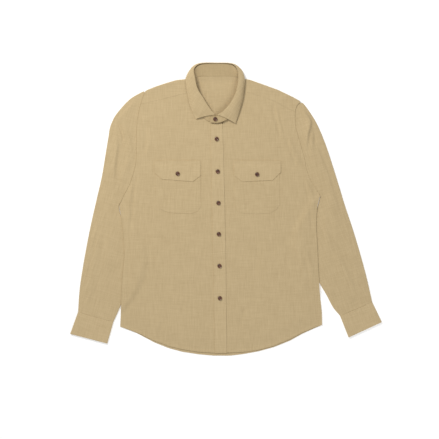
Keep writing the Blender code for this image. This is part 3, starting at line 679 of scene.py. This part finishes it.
SHIRTING = (0.56, 0.428, 0.242)
SHIRTING_FACED = (0.575, 0.44, 0.25)
# A darker copy of the shirting for the collar stand: painted shade for the shadow that falls inside
# the neck
SHIRTING_PAINTED_SHADE = (0.52, 0.392, 0.215)
BODY_LINEN = linen("linen_body", SHIRTING)
FACED_LINEN = linen("linen_faced", SHIRTING_FACED)
STAND_SHADE_LINEN = linen("linen_painted_shade", SHIRTING_PAINTED_SHADE)
SLEEVE_TURN = {"right": 15.0, "left": -17.0}
SLEEVE_LINEN = {s: linen("linen_sleeve_" + s, SHIRTING, SLEEVE_TURN[s]) for s in SLEEVE_TURN}
CUFF_TURN = 1.1
CUFF_LINEN = {s: linen("linen_cuff_" + s, SHIRTING_FACED, CUFF_TURN * SLEEVE_TURN[s])
              for s in SLEEVE_TURN}
COLLAR_LINEN = linen("linen_collar", SHIRTING, 35.0)
HORN = horn("horn")


# Panels


EDGE_COLUMN = 0.9
INNER_COLUMN = 2.6
FRONT_WIDTH = 285
BACK_WIDTH = 290
SHOULDER_WIDTH = 150
PLACKET_WIDTH = 34
BODY_LENGTH = 620
CHEST_LENGTH = 90
HEM_CENTRE_Y = -402
ARMHOLE_FOOT = -10
ARMHOLE_RUN = 20
NECK_FOOT_Y = 239
NECK_POINT_Y = 350


def spread(length, step=GRID_STEP):
    """Parts across a length, closer together at both of its edges."""
    edge = EDGE_COLUMN / length
    near = INNER_COLUMN / length
    inner = np.linspace(near, 1 - near, max(int(length / step), 4))
    return np.concatenate([[0.0, edge], inner, [1 - edge, 1.0]])


def yoke_seam_y(side, part):
    """Front yoke seam, from the armhole, part 0, to the neck, part 1."""
    armhole, neck, bow = YOKE_SEAM[side]
    return armhole + (neck - armhole) * part + bow * np.sin(math.pi * part)


def body_rows(foot, chest, top, step=GRID_STEP):
    """Heights of a body panel's rows: close together at its hem, then even to its top."""
    near = np.array(HEM_ROWS)[:, None]
    reach = chest - foot - near[-1]
    below = foot + near[-1] + reach * np.linspace(0, 1, int(BODY_LENGTH / step))[1:, None]
    over = chest + (top - chest) * np.linspace(0, 1, int(CHEST_LENGTH / step))[1:, None]
    return np.vstack([foot + near, below, over])


def chest_y(side, part):
    """Line across the chest at the foot of the neck opening."""
    return CHEST_LINE[side] * (1 - part) + NECK_FRONT * part


def hem_roll(y, foot):
    """The turned-up hem: a band of double cloth above the edge."""
    return HEM_BAND_HEIGHT * smoothstep((HEM_BAND - (y - foot)) / HEM_BAND_RUN)


def make_back():
    """Back panel, from the back yoke seam to the tail."""
    halves = []
    for side, inward in (("right", 1), ("left", -1)):
        part = spread(BACK_WIDTH, BACK_STEP)[None, :]
        foot_end = BACK_HEM[0][0] if side == "right" else BACK_HEM[-1][0]
        foot = read(BACK_HEM, foot_end * (1 - part) + inner_x(side, HEM_CENTRE_Y) * part)
        y = body_rows(foot, chest_y(side, part), BACK_YOKE_SEAM - SEAM_GAP + 0 * part,
                      BACK_STEP)
        inset = ARMHOLE_CLEAR * inward * smoothstep((y - ARMHOLE_FOOT) / ARMHOLE_RUN)
        x = (outer_x(side, y) + inset) * (1 - part) + inner_x(side, np.minimum(y, NECK_FOOT_Y)) * part
        halves.append(stack(x, y, tuck_height(x, y) + hem_roll(y, foot) * 0.5))
    grid = np.concatenate([halves[0], halves[1][:, -2::-1]], axis=1)
    piece = panel("back_cloth", "back_panel", grid, WALL, BODY_LINEN)


def make_front(side):
    """A front, from the front yoke seam to the hem."""
    part = spread(FRONT_WIDTH)[None, :]
    hem_end = FRONT_HEM[0][0] if side == "right" else FRONT_HEM[-1][0]
    foot = read(FRONT_HEM, hem_end * (1 - part) + inner_x(side, HEM_CENTRE_Y) * part)
    y = body_rows(foot, chest_y(side, part), yoke_seam_y(side, part) - SEAM_GAP)
    x = body_x(side, y, part)
    z = front_under(x, y) + front_step(side, x, y) + hem_roll(y, foot)
    grid = stack(x, y, z)
    grid = grid if side == "right" else grid[:, ::-1]
    piece = panel("front_cloth_" + side, "front_" + side, grid, WALL, BODY_LINEN)


def read_shoulder_y(side, part):
    """Height of the shoulder line at a part of the way from the armhole to the neck."""
    return along(spline(SHOULDER[side]), part)[..., 1]


def body_back_x(side, y, part):
    """From the armhole, part 0, to the line under the neck point, part 1."""
    return outer_x(side, y) * (1 - part) + inner_x(side, NECK_POINT_Y) * part


BACK_RISES = np.linspace(0.0, 1.0, 26)
NECK_LIFT = 2.6
NECK_RUN = 14
SHOULDER_RUN = 22
YOKE_EDGE = 0.25
YOKE_EDGE_RUN = 6


def neck_rise(y, top):
    """The yoke turns up where the stand is sewn to it."""
    return NECK_LIFT * smoothstep(1 - (top - y) / NECK_RUN)


def shoulder_columns(side, part):
    """Points of the yoke over one shoulder: up the back, round the fold, down the front."""
    radius = SHOULDER_FOLD / 2
    fold_y = read(SHOULDER[side], body_x(side, read_shoulder_y(side, part), part))
    inward = ARMHOLE_CLEAR * (1 if side == "right" else -1) * (1 - part)
    rows = []
    for rise in BACK_RISES:
        y = BACK_YOKE_SEAM + (fold_y - radius - BACK_YOKE_SEAM) * rise
        rows.append(stack(body_back_x(side, y, part) + inward, y, 0.0))
    for turn in np.linspace(-60, 60, 7):
        angle = math.radians(turn)
        y = fold_y - radius + radius * math.cos(angle)
        rows.append(stack(body_x(side, y, part) + inward, y, radius * (1 + math.sin(angle))))
    seam_y = yoke_seam_y(side, part)
    for fall in np.linspace(0.0, 1.0, 26):
        y = (fold_y - radius) * (1 - fall) + seam_y * fall
        x = body_x(side, y, part)
        top = front_under(x, y) + WALL
        z = SHOULDER_FOLD + (top - SHOULDER_FOLD) * smoothstep((fold_y - radius - y) / SHOULDER_RUN)
        seam = YOKE_EDGE * smoothstep(1 - (y - seam_y) / YOKE_EDGE_RUN)
        rows.append(stack(x, y, z + seam))
    return np.array(rows)


def make_yoke():
    """One yoke over both shoulders; the back neck is its middle edge."""
    part = spread(SHOULDER_WIDTH)
    right = shoulder_columns("right", part)
    left = shoulder_columns("left", part)[:, ::-1]
    rows, columns = right.shape[:2]
    points = list(right.reshape(-1, 3)) + list(left.reshape(-1, 3))
    faces = grid_faces(rows, columns) + grid_faces(rows, columns, start=rows * columns)
    middle = np.linspace(inner_x("right", NECK_POINT_Y), inner_x("left", NECK_POINT_Y), 44)[1:-1]
    first = len(points)
    top = read(spline(BACK_NECK).tolist(), middle)
    for rise in BACK_RISES:
        y = BACK_YOKE_SEAM + (top - BACK_YOKE_SEAM) * rise
        points.extend(stack(middle, y, neck_rise(y, top)))

    def corner(row, column):
        if column == 0:
            return row * columns + columns - 1
        if column == len(middle) + 1:
            return rows * columns + row * columns
        return first + row * len(middle) + column - 1

    for row in range(len(BACK_RISES) - 1):
        for column in range(len(middle) + 1):
            faces.append((corner(row, column), corner(row, column + 1),
                          corner(row + 1, column + 1), corner(row + 1, column)))
    piece = cloth("yoke_cloth", "yoke", points, faces, WALL, BODY_LINEN, 1)


# Sleeves and cuffs

SLEEVE_CURVES = {}
for wearer_side in ("right", "left"):
    inner_line = np.vstack([spline(ARMHOLE[wearer_side]), spline(SLEEVE_INNER[wearer_side])])
    SLEEVE_CURVES[wearer_side] = {
        "outer": spline(SLEEVE_OUTER[wearer_side]),
        "inner": inner_line,
    }


def tube_ring(start, end, height, radius, inset, top_faces, low_faces):
    """Points round a flattened tube, over the top and back along the bottom, inset by its wall."""
    width = float(np.linalg.norm(end - start))
    turn = np.radians([0.0, 22.5, 45.0, 67.5, 90.0])
    bevel = (radius - (radius - inset) * np.cos(turn)) / width
    level = np.sin(turn)
    inner = np.linspace(0.0, 1.0, top_faces + 1)[1:-1]
    top_part = np.concatenate([bevel, bevel[-1] + (1 - 2 * bevel[-1]) * inner, 1 - bevel[::-1]])
    top_level = np.concatenate([level, np.ones(len(inner)), level[::-1]])
    low_inner = np.linspace(0.0, 1.0, low_faces)[1:-1]
    low_part = np.concatenate([bevel[1:], bevel[-1] + (1 - 2 * bevel[-1]) * low_inner,
                               1 - bevel[:0:-1]])[::-1]
    low_level = np.concatenate([level[1:], np.ones(len(low_inner)), level[:0:-1]])[::-1]
    top = start + (end - start) * top_part[:, None]
    low = start + (end - start) * low_part[:, None]
    crown = height(top[:, 0], top[:, 1], top_part) - inset
    top_z = radius + (crown - radius) * top_level
    low_z = radius - (radius - inset) * low_level
    return np.vstack([stack(top[:, 0], top[:, 1], top_z), stack(low[:, 0], low[:, 1], low_z)])


# Where the sleeve's crown starts outside the body, and how far it takes to rise, also from its edges
FREE_START = 4
FREE_RUN = 30
OUTER_RISE = 26
INNER_RISE = 16
CUFF_GATHER = 0.35
GATHER_START = 0.85
SLEEVE_SECTIONS = np.concatenate([[0.012, 0.02, 0.03], np.linspace(0.04, 1.0, 170)])
SLEEVE_FACES = (52, 30)
CUFF_SECTIONS = [SEAM_GAP / CUFF_DEPTH, 0.015, 0.03, 0.06, *np.linspace(0.1, 0.9, 16),
                 0.94, 0.97, 0.99, 1.0]
CUFF_FACES = (30, 30)
CUFF_RIM = 0.35
CUFF_RIM_RUN = 0.03


def sleeve_ends(side, down):
    """Outer and inner end of a section of a sleeve, down it from 0 to 1."""
    curves = SLEEVE_CURVES[side]
    outer = along(curves["outer"], down)
    inner = along(curves["inner"], down - SECTION_SKEW * math.sin(math.pi * down))
    run = (inner - outer) / np.linalg.norm(inner - outer)
    at_armhole = smoothstep((inner[1] - SLEEVE_INNER[side][0][1]) / 20)
    return outer, inner + run * ARMHOLE_LAP * at_armhole


def make_sleeve(side):
    """A sleeve: a flattened tube in sections from the shoulder point to the cuff seam."""
    name = "sleeve_" + side
    sign = -1 if side == "right" else 1
    rings = {0.0: [], WALL: []}
    for down in SLEEVE_SECTIONS:
        start, end = sleeve_ends(side, down)
        width = float(np.linalg.norm(end - start))

        def height(x, y, part):
            outside = sign * (x - outer_x(side, y))
            outside = np.where(y < SIDE[side][-1][1], SLEEVE_FREE, outside)
            free = smoothstep((outside - FREE_START) / FREE_RUN)
            edges = smoothstep(part * width / OUTER_RISE)
            edges = edges * smoothstep((1 - part) * width / INNER_RISE)
            gather = smoothstep((down - GATHER_START) / (1 - GATHER_START))
            swell = SLEEVE_SWELL * (1 - CUFF_GATHER * gather)
            folds = fold_height(name, x, y) + crease_height(name, x, y)
            return SLEEVE_EDGE + free * edges * (swell + folds)

        for inset, ring in rings.items():
            ring.append(tube_ring(start, end, height, SLEEVE_EDGE / 2, inset, *SLEEVE_FACES))
    piece = tube("sleeve_cloth_" + side, name, rings[0.0], rings[WALL], SLEEVE_LINEN[side])


def make_cuff(side):
    """A cuff: a stiff flattened band below the sleeve."""
    seam_out, seam_in, edge_in, edge_out = (np.array(p, dtype=float) for p in CUFF[side])
    rings = {0.0: [], FACED_WALL: []}
    for down in CUFF_SECTIONS:
        start = seam_out + (edge_out - seam_out) * down
        end = seam_in + (edge_in - seam_in) * down
        rim = CUFF_RIM * (1 - smoothstep(min(down, 1 - down) / CUFF_RIM_RUN))

        def height(x, y, part):
            return np.full(np.shape(x), CUFF_HEIGHT - rim)

        for inset, ring in rings.items():
            ring.append(tube_ring(start, end, height, CUFF_HEIGHT / 2, inset, *CUFF_FACES))
    piece = tube("cuff_cloth_" + side, "cuff_" + side, rings[0.0], rings[FACED_WALL],
                 CUFF_LINEN[side])


# Placket, pockets and flaps


PLACKET_ROWS = 190
POCKET_RISES = np.concatenate([[0.0, 0.006, 0.015], np.linspace(0.03, 0.97, 40), [0.99, 1.0]])
FLAP_RISES = np.concatenate([[0.0, 0.012, 0.03], np.linspace(0.06, 0.95, 22), [0.985, 1.0]])
MOUTH_RUN = 4
OUTLINE_EDGES = (0.6, 1.6)


def placket_under(x, y):
    return front_under(x, y) + WALL + REST_GAP


def pocket_under(side, x, y):
    return front_under(x, y) + front_step(side, x, y) + WALL + REST_GAP


def flap_under(side, x, y):
    """A flap lies on its pocket, and on the front above the pocket's mouth."""
    over_pocket = smoothstep((POCKET_TOP + MOUTH_RUN - y) / MOUTH_RUN)
    return pocket_under(side, x, y) + (POCKET_WALL + REST_GAP) * over_pocket


def outline_columns(outline, step):
    """Columns across an outline, with one at each of its corners and close to its edges."""
    xs = [x for x, _ in outline]
    edges = [xs[0] + e for e in OUTLINE_EDGES] + [xs[-1] - e for e in OUTLINE_EDGES]
    steps = int((xs[-1] - xs[0]) / step)
    return np.unique(np.round(np.concatenate([np.linspace(xs[0], xs[-1], steps), xs, edges]), 2))


def make_placket():
    """The folded strip on the left front, lying over the right front."""
    part = spread(PLACKET_WIDTH, FINE_STEP)[None, :]
    y = np.linspace(PLACKET_BOTTOM, PLACKET_TOP, PLACKET_ROWS)[:, None]
    x = read(PLACKET_LEFT, y) * (1 - part) + read(PLACKET_RIGHT, y) * part
    piece = panel("placket_cloth", "placket", stack(x, y, placket_under(x, y)), FACED_WALL,
                  FACED_LINEN)


def make_pocket(side):
    x = outline_columns(POCKET[side], GRID_STEP)[None, :]
    foot = read(POCKET[side], x)
    y = foot + (POCKET_TOP - foot) * POCKET_RISES[:, None]
    piece = panel("pocket_cloth_" + side, "pocket_" + side,
                  stack(x, y, pocket_under(side, x, y)), POCKET_WALL, BODY_LINEN)


def make_flap(side):
    x = outline_columns(FLAP[side], FINE_STEP)[None, :]
    foot = read(FLAP[side], x)
    y = foot + (FLAP_TOP - foot) * FLAP_RISES[:, None]
    piece = panel("flap_cloth_" + side, "flap_" + side, stack(x, y, flap_under(side, x, y)),
                  FACED_WALL, FACED_LINEN)


# Collar

COLLAR_STEPS = 150
STAND_STEPS = np.linspace(0, 1, 12)
LEAF_STEPS = np.concatenate([np.linspace(0, 0.95, 24), [0.98, 1.0]])


def make_stand():
    """The band that stands round the neck, its upper end lapped over its under end."""
    rows = np.array(STAND, dtype=float)
    neck = spline(rows[:, :3], COLLAR_STEPS)
    top = spline(rows[:, 3:], COLLAR_STEPS)
    grid = np.array([neck * (1 - t) + top * t for t in STAND_STEPS])
    # The stand's linen is the darker copy of the shirting: painted shade inside the neck
    piece = cloth("stand_cloth", "collar_stand", grid, grid_faces(len(grid), COLLAR_STEPS),
                  FACED_WALL, STAND_SHADE_LINEN, -1)


def make_leaf():
    """The collar's fall, rolled over the top of the stand."""
    rows = np.array(LEAF, dtype=float)
    roll, bend, edge = (spline(rows[:, k:k + 3], COLLAR_STEPS) for k in (0, 3, 6))
    grid = []
    for t in LEAF_STEPS:
        grid.append((1 - t) ** 2 * roll + 2 * t * (1 - t) * bend + t * t * edge)
    piece = cloth("leaf_cloth", "collar_leaf", np.array(grid), grid_faces(len(grid), COLLAR_STEPS),
                  FACED_WALL, COLLAR_LINEN, 1)


# Buttons

BUTTON_RINGS = [(0.0, 1.5), (2.9, 1.5), (3.6, 1.9), (4.1, 2.5), (4.6, 2.65), (5.2, 2.6), (5.7, 2.25),
                (5.9, 1.8), (5.9, 1.2), (5.5, 0.6), (4.7, 0.1), (3.5, 0.0), (0.0, 0.0)]
HOLE_PLACE = 1.15
HOLE_RADIUS = 0.55
HOLE_SIDES = 12
LATHE_STEPS = 40


def button_mesh():
    """A turned button with a raised rim and four holes."""
    profile = [(r * MM, 0.0, height * MM) for r, height in BUTTON_RINGS]
    mesh = bpy.data.meshes.new("button")
    mesh.from_pydata(profile, [(i, i + 1) for i in range(len(profile) - 1)], [])
    blank = bpy.data.objects.new("blank", mesh)
    bpy.context.scene.collection.objects.link(blank)
    turn = blank.modifiers.new("Turn", "SCREW")
    turn.steps = LATHE_STEPS
    turn.render_steps = LATHE_STEPS
    turn.use_merge_vertices = True
    turn.merge_threshold = 0.00001
    settle(blank)
    points = []
    faces = []
    for cx, cy in ((-1, -1), (1, -1), (1, 1), (-1, 1)):
        first = len(points)
        for z in (-1.0, 4.0):
            for k in range(HOLE_SIDES):
                angle = 2 * math.pi * k / HOLE_SIDES
                points.append(((cx * HOLE_PLACE + HOLE_RADIUS * math.cos(angle)) * MM,
                               (cy * HOLE_PLACE + HOLE_RADIUS * math.sin(angle)) * MM, z * MM))
        faces.append(tuple(first + k for k in reversed(range(HOLE_SIDES))))
        faces.append(tuple(first + HOLE_SIDES + k for k in range(HOLE_SIDES)))
        for k in range(HOLE_SIDES):
            after = (k + 1) % HOLE_SIDES
            faces.append((first + k, first + after, first + HOLE_SIDES + after,
                          first + HOLE_SIDES + k))
    drill_mesh = bpy.data.meshes.new("drill")
    drill_mesh.from_pydata(points, [], faces)
    drill = bpy.data.objects.new("drill", drill_mesh)
    bpy.context.scene.collection.objects.link(drill)
    cut = blank.modifiers.new("Holes", "BOOLEAN")
    cut.object = drill
    cut.operation = "DIFFERENCE"
    cut.solver = "EXACT"
    settle(blank)
    mesh = blank.data
    mesh.shade_smooth()
    mesh.set_sharp_from_angle(angle=math.radians(40))
    bpy.data.objects.remove(blank)
    bpy.data.objects.remove(drill)
    mesh.materials.clear()
    mesh.materials.append(HORN)
    return mesh


def make_buttons():
    """One button on the stand, six on the placket and one on each flap."""
    pattern = button_mesh()
    x, y = COLLAR_BUTTON
    upper_end = np.array(STAND[-2:], dtype=float)
    low, high = upper_end[:, 1:3].mean(axis=0), upper_end[:, 4:6].mean(axis=0)
    slope = (high[1] - low[1]) / (high[0] - low[0])
    places = [("collar", x, y, low[1] + slope * (y - low[0]) + FACED_WALL, math.atan(slope))]
    for number, (x, y) in enumerate(PLACKET_BUTTONS, 1):
        places.append((f"front_{number}", x, y, float(placket_under(x, y)) + FACED_WALL, 0.0))
    for side, (x, y) in FLAP_BUTTONS.items():
        places.append(("flap_" + side, x, y, float(flap_under(side, x, y)) + FACED_WALL, 0.0))
    for turn, (name, x, y, z, tilt) in enumerate(places):
        mesh = pattern.copy()
        angle = math.radians(17 * turn % 40 - 20)
        cos, sin = math.cos(angle), math.sin(angle)
        for vertex in mesh.vertices:
            px, py, pz = vertex.co
            px, py = px * cos - py * sin, px * sin + py * cos
            rise = py * math.sin(tilt) + pz * math.cos(tilt)
            py = py * math.cos(tilt) - pz * math.sin(tilt)
            vertex.co = (px + x * MM, py + y * MM, rise + (z + BUTTON_LIFT) * MM)
        button = bpy.data.objects.new("horn_button_" + name, mesh)
        bpy.context.scene.collection.objects.link(button)
        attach(button, "root")
        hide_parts("button_" + name)


make_back()
make_yoke()
for wearer_side in ("right", "left"):
    make_front(wearer_side)
    make_sleeve(wearer_side)
    make_cuff(wearer_side)
    make_pocket(wearer_side)
    make_flap(wearer_side)
make_placket()
make_stand()
make_leaf()
make_buttons()

# Floor, light and camera

FRAME_WIDTH = 1.2292
CAMERA_AT = (-0.0182, -0.028)
CAMERA_HEIGHT = 3.2


def make_stage():
    mesh = bpy.data.meshes.new("floor")
    mesh.from_pydata([(-8, -8, 0), (8, -8, 0), (8, 8, 0), (-8, 8, 0)], [], [(0, 1, 2, 3)])
    mesh.materials.append(plain_stage("floor_paint", (0.93, 0.93, 0.93, 1.0)))
    floor = bpy.data.objects.new("floor", mesh)
    floor.location.z = -0.0004
    bpy.context.scene.collection.objects.link(floor)
    floor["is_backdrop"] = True


def make_light(name, place, aim, size, watts, colour):
    light = bpy.data.lights.new(name, "AREA")
    light.shape = "DISK"
    light.size = size
    light.energy = watts
    light.color = colour
    lamp = bpy.data.objects.new(name, light)
    lamp.location = place
    direction = [a - b for a, b in zip(aim, place)]
    lamp.rotation_euler = mathutils.Vector(direction).to_track_quat("-Z", "Y").to_euler()
    bpy.context.scene.collection.objects.link(lamp)


def make_camera():
    lens = bpy.data.cameras.new("camera")
    lens.sensor_width = 36.0
    lens.lens = 36.0 * CAMERA_HEIGHT / FRAME_WIDTH
    lens.clip_end = 50.0
    camera = bpy.data.objects.new("camera", lens)
    camera.location = (CAMERA_AT[0], CAMERA_AT[1], CAMERA_HEIGHT)
    bpy.context.scene.collection.objects.link(camera)
    bpy.context.scene.camera = camera


make_stage()
make_light("key", (-1.1, 1.5, 1.6), (0.0, 0.0, 0.0), 0.7, 34.0, (1.0, 0.985, 0.96))
make_light("fill", (0.9, -1.6, 2.2), (0.0, -0.1, 0.0), 1.6, 22.0, (0.97, 0.985, 1.0))
world = bpy.data.worlds.new("studio")
world.use_nodes = True
world.node_tree.nodes["Background"].inputs["Color"].default_value = (1.0, 1.0, 1.0, 1.0)
world.node_tree.nodes["Background"].inputs["Strength"].default_value = 0.4
bpy.context.scene.world = world
bpy.context.scene.view_settings.view_transform = "Standard"
make_camera()

boxes = {"cad": CAD_BOX, "visual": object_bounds()}
{k: [list(map(float, p)) for p in v] for k, v in boxes.items()}
